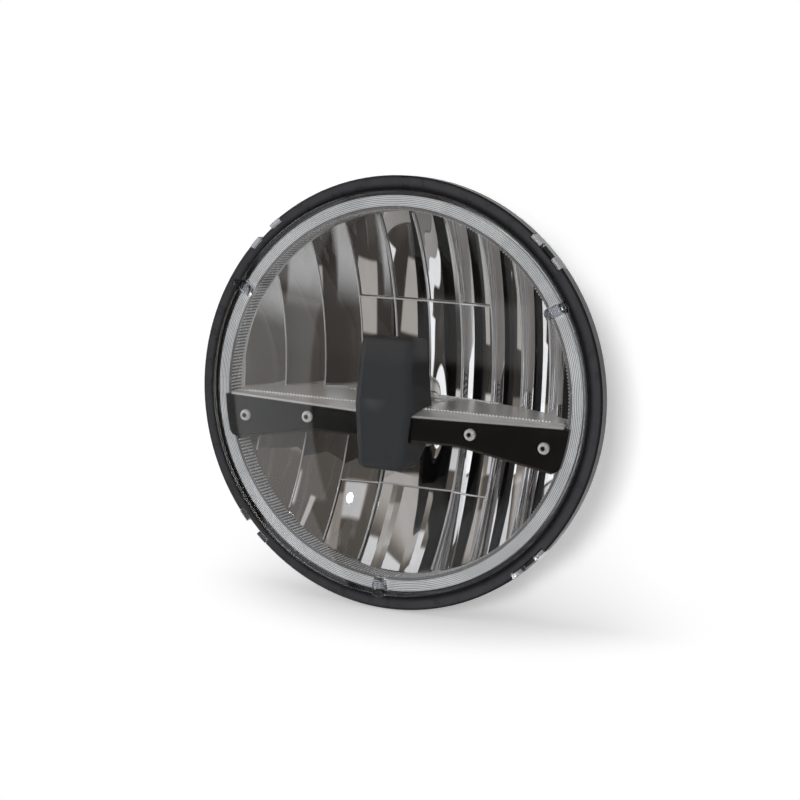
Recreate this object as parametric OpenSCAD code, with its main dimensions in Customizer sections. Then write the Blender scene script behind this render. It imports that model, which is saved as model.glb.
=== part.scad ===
// Round motorcycle headlight, seven inch LED insert.
// Z is up, the lamp looks along -Y, and the origin is the centre of the flange's seat.
// Inside axial() the local axes are x to the right, y upwards and z forward of the seat.

/* [Rim] */
// Outer radius of the black front ring
rim_r = 89; // [87:0.5:92]
// Thickness of the front ring's skirt
skirt_t = 1.6; // [1.2:0.1:2]
// Thickness of the front ring over the lens flange
ring_face_t = 0.8; // [0.6:0.1:1.5]
// Thickness of the housing's flange
flange_t = 3; // [2.6:0.1:4]
// Thickness of the rubber seal under the lens
seal_t = 1; // [0.8:0.1:1.5]
// Number of snap hooks round the rim
hook_count = 4; // [3:1:6]
// Width of one snap hook, in degrees
hook_angle = 11.4; // [9:0.1:13]
// Width of the window in a snap hook, in degrees
hook_window = 4.6; // [3.5:0.1:5.5]

/* [Lens] */
// Width of the rim outside the lens wall
rim_w = 6.15; // [5.4:0.05:7]
// Thickness of the lens wall beside the light guide
lens_wall = 1.6; // [1.2:0.1:1.9]
// Height of the lens's front corner over the seat
lens_edge_h = 9; // [8.6:0.1:10]
// Height of the dome's crown over the seat
lens_crown_h = 25; // [24:0.5:32]
// Thickness of the dome
lens_t = 2.4; // [2:0.1:2.6]
// Thickness of the lens's clamped flange
lens_flange_t = 1.4; // [1.2:0.1:2]
// Width of an aiming pad on the lens
pad_w = 4.2; // [3:0.1:6]
// Length of an aiming pad
pad_len = 8.4; // [6:0.1:9]
// Height of the aiming pads over the seat
pad_h = 13.3; // [12.6:0.1:15]

/* [Light guide] */
// Width of the light guide ring
guide_w = 4.3; // [3.8:0.1:5]
// Thickness of the light guide ring
guide_t = 1.8; // [1.4:0.1:2.2]
// Fine grooves round the face of the guide
guide_grooves = 5; // [3:1:7]
// Marks and feet round the guide
guide_marks = 12; // [6:1:24]
// Thickness of the ring board
ring_board_t = 1.2; // [0.8:0.1:1.6]
// Room between the ring board and the guide
guide_gap = 1.2; // [1:0.1:1.6]

/* [Toothed ring] */
// Teeth round the inner ring
tooth_count = 340; // [180:4:360]
// Depth of a tooth
tooth_depth = 0.6; // [0.3:0.05:0.9]
// Thickness of the toothed ring
tooth_ring_t = 1.5; // [1.3:0.1:2]
// Thickness of the foot of the toothed ring
tooth_foot_t = 1.2; // [0.8:0.1:2]

/* [Reflectors] */
// Depth of the bowls behind their rim
bowl_depth = 28.7; // [26:0.1:31]
// Height of the bowl's rim over the seat, negative is behind it
bowl_rim_h = -2.5; // [-4:0.1:-2]
// Wall of the reflectors
bowl_wall = 2.4; // [2:0.1:3]
// Thickness of the reflectors' rim flange
bowl_flange_t = 2; // [1.5:0.1:3]
// Facet pitch of the upper bowl
upper_pitch = 15; // [13:0.5:18]
// Facet pitch of the lower bowl
lower_pitch = 16.8; // [14:0.1:20]
// Crown of each facet
facet_crown = 0.45; // [0.2:0.05:0.8]
// Step between the two heights of facets
ledge_step = 0.9; // [0.4:0.1:1.4]
// Height of the ledge across the upper bowl
upper_ledge_z = 37; // [30:1:45]
// Depth of the ledge across the lower bowl
lower_ledge_z = -42; // [-50:1:-34]
// Height of the upper bowl's shelf, from the lamp's axis
shelf_z = -4.5; // [-5:0.1:-3.5]
// Thickness of the shelf
shelf_t = 1.6; // [1.2:0.1:2]
// Height of the shelf's beaded edge over the seat
bead_h = 5; // [3:0.5:6]
// Pitch of the beads
bead_pitch = 1.4; // [1.2:0.1:3]
// Rise of the shelf towards the back, as a slope
shelf_rise = 0.04; // [0:0.01:0.08]
// Slope of the lip from the beads down to the bar
lip_slope = 0.2; // [0.1:0.02:0.3]
// Thickness of the lip and of the lower bowl's roof
lip_t = 0.9; // [0.7:0.1:1.2]

/* [Bar] */
// How far the bar's round ends reach past the bowls
bar_lap = 2; // [1:0.1:2.6]
// Height of the bar's face over the seat, on the lamp's axis
bar_face_h = 14.8; // [14:0.1:15]
// Fall of the bar's face towards its ends
bar_fall = 0.086; // [0.084:0.002:0.095]
// Lower edge of the bar beside the cover
bar_low_in = -16.4; // [-18:0.1:-15]
// Lower edge of the bar near its ends
bar_low_out = -23.6; // [-28:0.1:-20]
// Where the lower edge starts to fall
bar_knee_x = 31; // [26:0.5:40]
// How far from the bar's round ends the lower edge has fallen
bar_toe_in = 7; // [5:0.5:10]
// Radius of the bar's lower corners
bar_corner_r = 3; // [1:0.1:4]
// Distance of the outer screws from the bar's round ends
outer_screw_in = 10.3; // [8:0.1:14]
// Height of the outer screws
outer_screw_z = -14.7; // [-16:0.1:-13]
// Distance of the inner screws from the axis
inner_screw_x = 36.3; // [30:0.1:45]
// Height of the inner screws
inner_screw_z = -12.1; // [-13:0.1:-11]
// Radius of the bar screws' threads
screw_r = 1.5; // [1.2:0.1:2]
// Radius of the bar screws' heads
screw_head_r = 2.5; // [2.3:0.1:3]

/* [Centre cover] */
// Width of the cover at its middle
cover_w = 25.3; // [22:0.1:28]
// Width of the cover at its top
cover_top_w = 22.8; // [20:0.1:25]
// Width of the cover at its foot
cover_foot_w = 21; // [19:0.1:24]
// Top of the cover, from the lamp's axis
cover_top_z = 23.8; // [20:0.1:26]
// Foot of the cover, from the lamp's axis
cover_foot_z = -31.5; // [-33:0.1:-29]
// Height of the cover's face over the seat
cover_face_h = 17.8; // [17:0.1:18.6]
// Radius of the cover's edges
cover_edge_r = 3.4; // [2.4:0.1:4]
// Wall of the cover
cover_wall = 2; // [1.5:0.1:2.2]

/* [Housing] */
// Width of the flange's seat round the spigot
seat_w = 6.7; // [5.5:0.1:7.2]
// Wall of the housing's bowl
housing_wall = 3; // [2.5:0.1:4]
// Room between the reflectors and the housing
housing_gap = 1.5; // [1:0.1:2.5]
// Outer radius of the driver pot
pot_r = 44; // [42:0.5:48]
// Room in the driver pot, from its floor to its cover
pot_room = 16.9; // [15:0.1:20]
// Wall of the driver pot
pot_wall = 4; // [3:0.1:5]
// Thickness of a cooling fin
fin_t = 2.2; // [1.6:0.1:3]
// Pitch of the cooling fins
fin_pitch = 9; // [7:0.5:12]
// Set back of the fins from the pot's rear face
fin_setback = 6; // [3:0.5:10]
// Thickness of the rear cover
rear_cover_t = 3; // [2.5:0.1:4]
// Bore of the cable gland's seal, as a radius
cable_r = 3.2; // [2.5:0.1:3.5]
// Radius of the gland's thread
gland_r = 8; // [7.4:0.1:9]

/* [Hidden] */

fit = 0.2;
over = 0.1;
far = 300;
round_fn = 180;
small_fn = 48;

// Rim stack, seat upwards
seal_h = flange_t;
lens_flange_h = flange_t + seal_t;
ring_face_h = lens_flange_h + lens_flange_t;
rim_h = ring_face_h + ring_face_t;
lens_r = rim_r - rim_w;
housing_flange_r = rim_r - skirt_t - fit;
spigot_r = housing_flange_r - seat_w;
notch_r = housing_flange_r - 0.4;
ring_bore_r = lens_r + 0.3;
ring_lip_w = 1;
hook_start = 45;
hook_in_r = housing_flange_r + 0.15;

// Light guide stack
guide_r = lens_r - lens_wall - 0.25;
guide_in_r = guide_r - guide_w;
board_seat_h = flange_t - 0.9;
guide_h = board_seat_h + ring_board_t + guide_gap;
guide_face_h = guide_h + guide_t;

// Toothed ring and bowls
tooth_ring_r = guide_in_r - fit;
bowl_r = tooth_ring_r - tooth_ring_t;
bowl_flange_r = bowl_r + 2.7;
bowl_sphere_r = (bowl_r * bowl_r + bowl_depth * bowl_depth) / (2 * bowl_depth);
bowl_centre_h = bowl_rim_h - bowl_depth + bowl_sphere_r;
ledge_h = bowl_rim_h - bowl_flange_t;
bowl_body_r = bowl_r + 1;
// Facets each side of the middle, enough to reach the bowl's edge
upper_count = ceil(bowl_body_r / upper_pitch);
lower_count = ceil(bowl_body_r / lower_pitch);
upper_edges = [for (i = [-upper_count : upper_count]) i * upper_pitch];
lower_edges = [for (i = [-lower_count : lower_count]) if (i != 0) i * lower_pitch];

// Dome, two balls about one centre
dome_rise = lens_crown_h - lens_edge_h;
dome_r = (lens_r * lens_r + dome_rise * dome_rise) / (2 * dome_rise);
dome_centre_h = lens_crown_h - dome_r;

// Bar and core
bar_back_h = guide_face_h + 0.3;
bar_r = bowl_r + bar_lap;
bar_toe_x = bar_r - bar_toe_in;
outer_screw_x = bar_r - outer_screw_in;
bar_screw_grip = 10;
low_fall = (bar_low_in - bar_low_out) / (bar_toe_x - bar_knee_x);
bar_half = 90;
head_sink = 1.2;
core_top_z = shelf_z - shelf_t - fit;
core_half_w = 22;
core_beam_h = -2;
core_r = bowl_r - 0.5;
led_window_w = 26;
led_window_back = -24;
led_window_front = -4;
pad_t = 0.3;
led_board_t = 1.3;
led_h = 0.8;
led_w = 3.5;
led_pitch = 6;
led_front = -9.5;
board_screw_r = 1;
board_screw_x = 9;
core_screw_r = 2;
core_screw_grip = 10;
core_screw_head_r = 3.5;
core_screw_head_h = 3;
core_screw_x = 14;
cover_post_r = 2.8;
cover_post_x = 6;
post_screw_r = 1.1;
post_screw_grip = 5.5;
post_screw_head_r = 2.1;
post_screw_head_h = 2;
post_screw_seat = 4;
socket_r = 1.05;
beam_mid_z = (core_top_z + bar_low_in) / 2;

// Housing
cavity_sphere_r = bowl_sphere_r + bowl_wall + housing_gap;
housing_sphere_r = cavity_sphere_r + housing_wall;
housing_bore_r = bowl_flange_r + 0.3;
housing_lower_r = bowl_body_r + 0.3;
core_back_h = bowl_centre_h + 0.3
    - sqrt(pow(cavity_sphere_r, 2) - pow(core_half_w, 2) - pow(bar_low_in, 2));
pot_floor_h = bowl_centre_h - housing_sphere_r - 1;
pot_in_r = pot_r - pot_wall;
pot_depth = pot_room - pot_floor_h;
fin_depth = pot_depth - fin_setback;
pot_front_h = -20;
core_hole_r = core_screw_r + fit;
cover_screw_r = 1.5;
cover_screw_ring = pot_r + 3;
cover_screw_count = 4;
cover_screw_len = 12;
cover_screw_head_r = 2.75;
cover_screw_head_h = 3;
lug_h = 2.5;
lug_gap = 1.9;
lug_w = 3.3;
lug_angle = 5;
cover_boss_r = 5;
standoff_h = 6.3;
standoff_r = 3;
driver_board_h = pot_floor_h - standoff_h;
driver_board_t = 1.6;
driver_back_h = driver_board_h - driver_board_t;
driver_room = pot_room - standoff_h - driver_board_t;
driver_screw_r = 1.15;
driver_screw_grip = 3.4;
driver_screw_head_r = 2.4;
driver_screw_head_h = 1.4;
coil_r = 8;
coil_bore_r = 3;
coil_h = driver_room - 3;
coil_place = [-16, 8];
can_r = 4;
can_h = driver_room - 2.5;
can_places = [[12, 12], [22, 8]];
seal_out_r = pot_r - 1.2;
seal_in_r = pot_r - 2.8;
seal_groove = 1.2;
gland_z = -18;
gland_wall = 1.6;
gland_bore_r = cable_r + 1.2;
gland_hex_w = 2.7;
gland_hex_r = gland_r + gland_hex_w;
gland_hex_h = 5.6;
gland_flange_t = 3;
gland_thread_len = 6;
gland_nut_len = 9;
gland_lip_t = 2;
nut_round_h = 1.2;
nut_cap_h = 3.2;
gland_seal_setback = 2.8;
vent_z = 20;
vent_r = 4;

// Puts the lamp's own axis along -Y
module axial() {
    rotate([90, 0, 0]) children();
}

// A disc or drum on the lamp's axis, from one height to another
module drum(r, low, high) {
    translate([0, 0, low]) cylinder(r = r, h = high - low, $fn = round_fn);
}

module tube(r_out, r_in, low, high) {
    difference() {
        drum(r_out, low, high);
        drum(r_in, low - over, high + over);
    }
}

module box_between(low, high) {
    translate(low) cube(high - low);
}

// A sector of the rim, centred on an angle and cut between two radii
module sector(angle, width, r_in, r_out, low, high) {
    rotate([0, 0, angle - width / 2])
        translate([0, 0, low])
            rotate_extrude(angle = width, $fn = round_fn)
                translate([r_in, 0]) square([r_out - r_in, high - low]);
}

module round_copies(count, start = 0) {
    for (i = [0 : count - 1]) rotate([0, 0, start + i * 360 / count]) children();
}

module lens() {
    color("gainsboro", 0.35) axial() {
        // Dome and its wall
        difference() {
            intersection() {
                translate([0, 0, dome_centre_h]) sphere(r = dome_r, $fn = round_fn);
                drum(lens_r, lens_flange_h, lens_crown_h + 1);
            }
            intersection() {
                translate([0, 0, dome_centre_h]) sphere(r = dome_r - lens_t, $fn = round_fn);
                drum(lens_r - lens_wall, lens_flange_h - over, lens_crown_h);
            }
        }
        tube(housing_flange_r - 0.3, lens_r - over, lens_flange_h, ring_face_h);
        round_copies(hook_count, hook_start) snap_hook();
        round_copies(3, 30) aiming_pad();
    }
}

// Two legs over the rim, joined behind the housing's catch
module snap_hook() {
    difference() {
        sector(0, hook_angle, housing_flange_r - 0.35, rim_r, lens_flange_h, ring_face_h);
        sector(0, hook_window, hook_in_r, rim_r + over, lens_flange_h - over, ring_face_h + over);
    }
    difference() {
        sector(0, hook_angle, hook_in_r, rim_r, 0.3, rim_h);
        sector(0, hook_window, housing_flange_r, rim_r + over, 1.9, rim_h + over);
    }
}

module aiming_pad() {
    pad_out = lens_r + 0.9;
    difference() {
        for (x = [pad_out - pad_w / 2, pad_out - pad_len + pad_w / 2])
            translate([x, 0, rim_h + 0.6]) cylinder(r = pad_w / 2, h = pad_h - rim_h - 0.6, $fn = small_fn);
        lens_inside();
    }
    difference() {
        translate([pad_out - pad_len + pad_w / 2, -pad_w / 2, rim_h + 0.6])
            cube([pad_len - pad_w, pad_w, pad_h - rim_h - 0.6]);
        lens_inside();
    }
}

module lens_inside() {
    intersection() {
        translate([0, 0, dome_centre_h]) sphere(r = dome_r - lens_t / 2, $fn = round_fn);
        drum(lens_r - lens_wall / 2, 0, lens_crown_h);
    }
}

module front_ring() {
    color("#262628") axial() difference() {
        rotate_extrude($fn = round_fn) polygon([
            [housing_flange_r + fit, 0], [rim_r - 0.4, 0], [rim_r, 0.4], [rim_r, rim_h - 0.6],
            [rim_r - 0.6, rim_h], [ring_bore_r + ring_lip_w, rim_h],
            [ring_bore_r + ring_lip_w - 0.3, rim_h - 0.25], [ring_bore_r, rim_h - 0.25],
            [ring_bore_r, ring_face_h], [housing_flange_r + fit, ring_face_h]]);
        round_copies(hook_count, hook_start)
            sector(0, hook_angle + 0.4, notch_r, rim_r + 1, -over, rim_h + over);
        // Top mark
        translate([-1.4, rim_r - 1, rim_h - 1.2]) cube([2.8, 2, 2]);
    }
}

module lens_seal() {
    color("#1c1c1c") axial() tube(housing_flange_r - 0.8, lens_r + 0.1, seal_h, seal_h + seal_t);
}

module light_guide() {
    groove_w = guide_w / (guide_grooves + 1);
    color("white", 0.6) axial() {
        difference() {
            tube(guide_r, guide_in_r, guide_h, guide_face_h);
            for (i = [1 : guide_grooves]) rotate_extrude($fn = round_fn) {
                r = guide_in_r + i * groove_w;
                polygon([[r - 0.16, guide_face_h + over], [r, guide_face_h - 0.25],
                    [r + 0.16, guide_face_h + over]]);
            }
        }
        round_copies(guide_marks) {
            // Foot on the ring board, and a double mark on the face
            translate([guide_in_r + 0.6, -0.6, board_seat_h + ring_board_t])
                cube([guide_w - 1.2, 1.2, guide_gap + over]);
            for (y = [-0.35, 0.1])
                translate([guide_in_r + 0.25, y, guide_face_h - 0.3]) cube([guide_w - 0.5, 0.25, 0.45]);
        }
    }
}

module ring_board() {
    color("#f2f2ee") axial() tube(guide_r, guide_in_r + 0.2, board_seat_h, board_seat_h + ring_board_t);
}

module ring_leds() {
    color("#f5e27a") axial() round_copies(guide_marks, 180 / guide_marks)
        translate([guide_in_r + guide_w / 2 - 0.8, -0.8, board_seat_h + ring_board_t])
            cube([1.6, 1.6, 0.7]);
}

// A star shaped bore makes the teeth
module toothed_ring() {
    step = 360 / tooth_count;
    color("#c9cbce") axial() {
        translate([0, 0, bowl_rim_h]) linear_extrude(height = guide_face_h - 0.2 - bowl_rim_h) difference() {
            circle(r = tooth_ring_r, $fn = round_fn);
            polygon([for (i = [0 : tooth_count - 1]) for (k = [0, 1])
                let (r = bowl_r + (k == 0 ? 0 : tooth_depth), a = (i + k / 2) * step)
                [r * cos(a), r * sin(a)]]);
        }
        tube(bowl_flange_r, tooth_ring_r - 0.3, bowl_rim_h, bowl_rim_h + tooth_foot_t);
    }
}

// One facet of a bowl: a crowned band turned about a level line through the bowl's centre
module facet(x0, x1, grow = 0) {
    middle = (x0 + x1) / 2;
    half = (x1 - x0) / 2;
    base = sqrt(bowl_sphere_r * bowl_sphere_r - middle * middle) + grow;
    slope = -middle / base * 0.93;
    translate([0, 0, bowl_centre_h]) rotate([0, 90, 0]) rotate_extrude($fn = round_fn)
        polygon(concat([[0, x0]], [for (k = [0 : 6])
            let (t = k / 3 - 1, crown = facet_crown * (1 - t * t))
            [base + slope * half * t - crown, middle + half * t]], [[0, x1]]));
}

module facets(edges, grow = 0) {
    for (i = [0 : len(edges) - 2]) facet(edges[i], edges[i + 1], grow);
}

// Block of material for one bowl, with the rim flange
module bowl_blank() {
    intersection() {
        translate([0, 0, bowl_centre_h]) sphere(r = bowl_sphere_r + bowl_wall, $fn = round_fn);
        drum(bowl_body_r, -60, ledge_h + over);
    }
    drum(bowl_flange_r, ledge_h, bowl_rim_h);
}

// Lower edge of the bar, shared by the core and the lower bowl's roof
function low_edge(drop) = [
    [-bar_half, bar_low_out - drop - (bar_half - bar_toe_x) * low_fall],
    [-bar_toe_x, bar_low_out - drop],
    [-bar_knee_x, bar_low_in - drop],
    [bar_knee_x, bar_low_in - drop],
    [bar_toe_x, bar_low_out - drop],
    [bar_half, bar_low_out - drop - (bar_half - bar_toe_x) * low_fall]];

// The front face of the bar in plan, cut back by a margin
module face_plan(margin) {
    end_h = face_at(bar_half) - margin;
    polygon([[-bar_half, -60], [bar_half, -60], [bar_half, end_h], [0, bar_face_h - margin],
        [-bar_half, end_h]]);
}

// Stands the plan up between two heights
module plan_slab(low, high) {
    translate([0, high, 0]) rotate([90, 0, 0]) linear_extrude(height = high - low) children();
}

module upper_reflector() {
    color("silver") axial() {
        difference() {
            intersection() {
                bowl_blank();
                box_between([-far, shelf_z - shelf_t, -60], [far, far, 60]);
            }
            intersection() {
                facets(upper_edges);
                drum(bowl_r, -60, 60);
                over_shelf();
            }
            // The facets above the ledge lie a step deeper
            intersection() {
                facets([for (i = [-2 : 2]) i * upper_pitch], ledge_step);
                drum(bowl_r, -60, 60);
                box_between([-far, upper_ledge_z, -60], [far, far, 60]);
            }
            led_window();
        }
        shelf();
        lip();
    }
}

// All that lies over the sloping shelf
module over_shelf() {
    across() polygon([[shelf_at(-60), -60], [100, -60], [100, 60], [shelf_at(60), 60]]);
}

// Extrudes a side view, drawn as height and forward, over the whole width
module across() {
    translate([-far / 2, 0, 0]) rotate([90, 0, 90]) linear_extrude(height = far) children();
}

function shelf_at(h) = shelf_z + (bead_h - h) * shelf_rise;

// Shelf in front of the bowl's mouth, with the beads along its front edge
module shelf() {
    half = sqrt(core_r * core_r - shelf_z * shelf_z) - 1;
    count = floor(half / bead_pitch);
    difference() {
        intersection() {
            plan_slab(shelf_z - shelf_t, shelf_z + 1) polygon(concat(
                [[-half, bowl_rim_h - 1.5], [half, bowl_rim_h - 1.5]],
                [for (i = [-count : count]) for (k = [0, 1])
                    [-(i + k / 2) * bead_pitch + bead_pitch / 4, bead_h - (k == 0 ? 0 : 0.6)]]));
            drum(core_r, -60, 60);
        }
        over_shelf();
        led_window();
    }
}

// Lip from the beads forward and down to the top of the bar
module lip() {
    intersection() {
        plan_slab(-20, 0) face_plan(0.5);
        drum(core_r, bead_h - 0.7, 60);
        across() polygon([
            [shelf_z - 0.3, bead_h - 0.7], [shelf_z - 0.3 - lip_slope * 12, bead_h + 11.3],
            [shelf_z - 0.3 - lip_slope * 12 - lip_t, bead_h + 11.3], [shelf_z - 0.3 - lip_t, bead_h - 0.7]]);
    }
}

module led_window() {
    side = led_window_w / 2;
    box_between([-side, -far, led_window_back], [side, shelf_at(led_window_back) + over, led_window_front]);
}

module lower_reflector() {
    color("silver") axial() difference() {
        union() {
            difference() {
                intersection() {
                    bowl_blank();
                    below(0.2);
                }
                intersection() {
                    facets(lower_edges);
                    drum(bowl_r, -60, 60);
                    below(0.2 + lip_t);
                }
                intersection() {
                    facets([for (i = [-2 : 2]) i * lower_pitch], ledge_step * 0.7);
                    drum(bowl_r, -60, 60);
                    box_between([-far, -far, -60], [far, lower_ledge_z, 60]);
                }
            }
            // Roof in front of the bowl's mouth
            intersection() {
                difference() {
                    below(0.2);
                    below(0.2 + lip_t);
                }
                plan_slab(-60, 0) face_plan(0.9);
                drum(core_r, bowl_rim_h - 1.5, 60);
            }
        }
        box_between([-led_window_w / 2, -22, led_window_back], [led_window_w / 2, 0, led_window_front]);
    }
}

// All that lies under the bar's lower edge
module below(drop) {
    translate([0, 0, -60]) linear_extrude(height = 120)
        polygon(concat(low_edge(drop), [[bar_half, -100], [-bar_half, -100]]));
}

module bar_outline() {
    difference() {
        intersection() {
            circle(r = bar_r, $fn = round_fn);
            polygon(concat(low_edge(0), [[bar_half, 20], [-bar_half, 20]]));
        }
        corner_cut();
        mirror([1, 0]) corner_cut();
    }
}

// What the blunted right lower corner loses, outside a few chords of its round
module corner_cut() {
    r = bar_corner_r;
    slant = sqrt(1 + low_fall * low_fall);
    lift = bar_low_out + low_fall * bar_toe_x + r * slant;
    x = (lift * low_fall + sqrt(pow(slant * (bar_r - r), 2) - lift * lift)) / (slant * slant);
    middle = [x, lift - low_fall * x];
    start = atan2(-1, -low_fall);
    turn = atan2(middle.y, middle.x) - start;
    chord = [for (t = [0.12, 0.37, 0.63, 0.88]) middle + r * [cos(start + t * turn), sin(start + t * turn)]];
    outer = middle + 2 * r * [cos(start + turn / 2), sin(start + turn / 2)];
    polygon(concat([chord[0] + 0.8 * (chord[0] - chord[1])], chord,
        [chord[3] + 0.8 * (chord[3] - chord[2]), outer]));
}

module bar() {
    color("#2b2b2d") axial() difference() {
        intersection() {
            translate([0, 0, bar_back_h]) linear_extrude(height = 12) bar_outline();
            plan_slab(-60, 0) face_plan(0);
            // Top edge, under the lip
            across() polygon([
                [lip_under(bar_back_h), bar_back_h], [lip_under(20), 20], [-60, 20], [-60, bar_back_h]]);
        }
        bar_screw_places() {
            translate([0, 0, -head_sink]) cylinder(r = screw_head_r + 0.4, h = 10, $fn = small_fn);
            translate([0, 0, -20]) cylinder(r = screw_r + 0.15, h = 30, $fn = small_fn);
        }
        cover_screw_places() translate([0, 0, -20]) cylinder(r = cover_post_r + fit, h = 40, $fn = small_fn);
    }
}

function lip_under(h) = shelf_z - 0.3 - lip_slope * (h - bead_h + 0.7) - lip_t - 0.1;
function face_at(x) = bar_face_h - bar_fall * abs(x);

// Children stand on the bar's face at each of the four screws
module bar_screw_places() {
    for (s = [-1, 1]) {
        translate([s * outer_screw_x, outer_screw_z, face_at(outer_screw_x)]) children();
        translate([s * inner_screw_x, inner_screw_z, face_at(inner_screw_x)]) children();
    }
}

module cover_screw_places() {
    for (x = [-cover_post_x, cover_post_x]) translate([x, beam_mid_z, 0]) children();
}

module bar_screws() {
    color("#b8b8b8") axial() bar_screw_places() difference() {
        union() {
            translate([0, 0, -head_sink]) button_head(screw_head_r, 1.9);
            translate([0, 0, -head_sink - bar_screw_grip])
                cylinder(r = screw_r, h = bar_screw_grip + over, $fn = small_fn);
        }
        translate([0, 0, -0.4]) cylinder(r = socket_r, h = 3, $fn = 6);
    }
}

module button_head(r, h) {
    rotate_extrude($fn = small_fn) polygon([[0, 0], [r, 0], [r, h * 0.45], [r * 0.93, h * 0.68],
        [r * 0.78, h * 0.88], [r * 0.55, h], [0, h]]);
}

module centre_cover() {
    post_h = cover_face_h - cover_wall + 0.5 - bar_back_h;
    color("#3a3b3d") axial() {
        difference() {
            cover_form(0);
            cover_form(cover_wall);
            saddle();
        }
        // Posts through the bar, for the screws from behind
        cover_screw_places() difference() {
            translate([0, 0, bar_back_h]) cylinder(r = cover_post_r, h = post_h, $fn = small_fn);
            translate([0, 0, bar_back_h - 1])
                cylinder(r = post_screw_r + 0.1, h = post_screw_grip + 1.5, $fn = small_fn);
        }
    }
}

// Rounded block of the cover, drawn in by a wall on every side but the rear
module cover_form(inset) {
    r = max(cover_edge_r - inset, 0.6);
    back = inset > 0 ? -8 : 0;
    front_h = cover_face_h - 0.6 - inset - r;
    hull() for (s = [-1, 1]) {
        cover_ball(s, cover_top_w / 2 - inset, cover_top_z - inset - r, front_h, r);
        cover_ball(s, cover_w / 2 - inset, (cover_top_z + cover_foot_z) / 2, front_h + 0.6, r);
        cover_ball(s, cover_foot_w / 2 - inset, cover_foot_z + 1.6 + inset + r, front_h, r);
        cover_ball(s, cover_w / 2 - 0.8 - inset, cover_foot_z + 5 + inset, 5.5, 2);
        cover_rod(s, cover_top_w / 2 + 0.3 - inset, cover_top_z - inset - 1.4, 1.8 + back);
        cover_rod(s, cover_w / 2 + 0.6 - inset, shelf_z, -3.2 + back);
        cover_rod(s, cover_w / 2 + 0.4 - inset, cover_foot_z + 12.5 + inset, -0.5 + back);
    }
}

module cover_ball(side, half, z, h, r) {
    translate([side * (half - r), z, h]) sphere(r = r, $fn = 32);
}

// Stands at a rear corner of the cover
module cover_rod(side, half, z, h) {
    translate([side * (half - 1.2), z, h]) cylinder(r = 1.2, h = 1, $fn = 32);
}

// Room for the bar, the lip and the shelf through the cover's flanks
module saddle() {
    across() polygon([
        [shelf_at(-40) + 0.3, -40], [shelf_z + 0.3, bead_h],
        [lip_under(bar_face_h) + lip_t + 0.5, bar_face_h + 0.3],
        [bar_low_in - lip_t - 0.5, bar_face_h + 0.3], [bar_low_in - lip_t - 0.5, -40]]);
}

module cover_screws() {
    color("#9a9a9a") axial() cover_screw_places() {
        translate([0, 0, bar_back_h - post_screw_seat])
            cylinder(r = post_screw_r, h = post_screw_seat + post_screw_grip, $fn = small_fn);
        translate([0, 0, bar_back_h - post_screw_seat - post_screw_head_h])
            cylinder(r = post_screw_head_r, h = post_screw_head_h, $fn = small_fn);
    }
}

module heat_sink_core() {
    color("#8d8f92") axial() difference() {
        intersection() {
            translate([0, 0, -60]) linear_extrude(height = 60 + bar_back_h)
                polygon(concat(low_edge(0), [[bar_half, core_top_z], [-bar_half, core_top_z]]));
            union() {
                drum(core_r, core_beam_h, bar_back_h);
                box_between([-core_half_w, -60, core_back_h], [core_half_w, 20, core_beam_h + over]);
            }
        }
        bar_screw_places() translate([0, 0, -12]) cylinder(r = screw_r + 0.1, h = 20, $fn = small_fn);
        cover_screw_places() {
            translate([0, 0, bar_back_h - 5]) cylinder(r = post_screw_r + 0.25, h = 10, $fn = small_fn);
            translate([0, 0, core_back_h - 1]) cylinder(r = post_screw_head_r + 0.5,
                h = bar_back_h - post_screw_seat + 1 - core_back_h, $fn = small_fn);
        }
        core_screw_places()
            translate([0, 0, core_back_h - 1])
                cylinder(r = core_screw_r + 0.1, h = core_screw_grip + 3, $fn = small_fn);
        board_screw_places() {
            upright(core_top_z - 4, board_screw_r + 0.1, 6);
            upright(bar_low_in - 2, board_screw_r + 0.1, 6);
        }
    }
}

module core_screw_places() {
    for (x = [-core_screw_x, core_screw_x]) translate([x, beam_mid_z, 0]) children();
}

module core_screws() {
    color("#9a9a9a") axial() core_screw_places() {
        translate([0, 0, pot_floor_h])
            cylinder(r = core_screw_r, h = core_back_h + core_screw_grip - pot_floor_h, $fn = small_fn);
        translate([0, 0, pot_floor_h - core_screw_head_h])
            cylinder(r = core_screw_head_r, h = core_screw_head_h, $fn = small_fn);
    }
}

// A rod that stands up on a level
module upright(z, r, h) {
    translate([0, z, 0]) rotate([-90, 0, 0]) cylinder(r = r, h = h, $fn = small_fn);
}

module board_screw_places() {
    for (x = [-board_screw_x, board_screw_x]) translate([x, 0, led_window_back + 4]) children();
}

// A plate in the window of the reflectors, with holes for the board screws
module window_plate(low, high) {
    side = led_window_w / 2 - 0.4;
    difference() {
        box_between([-side, low, led_window_back + 0.4], [side, high, led_window_front - 0.4]);
        board_screw_places() upright(low - 1, board_screw_r + fit, high - low + 2);
    }
}

module upper_led_board() {
    low = core_top_z + pad_t;
    color("#f2f2ee") axial() window_plate(low, low + led_board_t);
}

module lower_led_board() {
    high = bar_low_in - pad_t;
    color("#f2f2ee") axial() window_plate(high - led_board_t, high);
}

module leds(low) {
    for (i = [-1 : 1])
        translate([i * led_pitch - led_w / 2, low, led_front - led_w]) cube([led_w, led_h, led_w]);
}

module upper_leds() {
    color("#f5e27a") axial() leds(core_top_z + pad_t + led_board_t);
}

module lower_leds() {
    color("#f5e27a") axial() leds(bar_low_in - pad_t - led_board_t - led_h);
}

module upper_thermal_pad() {
    color("#8fa3b5") axial() window_plate(core_top_z, core_top_z + pad_t);
}

module lower_thermal_pad() {
    color("#8fa3b5") axial() window_plate(bar_low_in - pad_t, bar_low_in);
}

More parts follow.
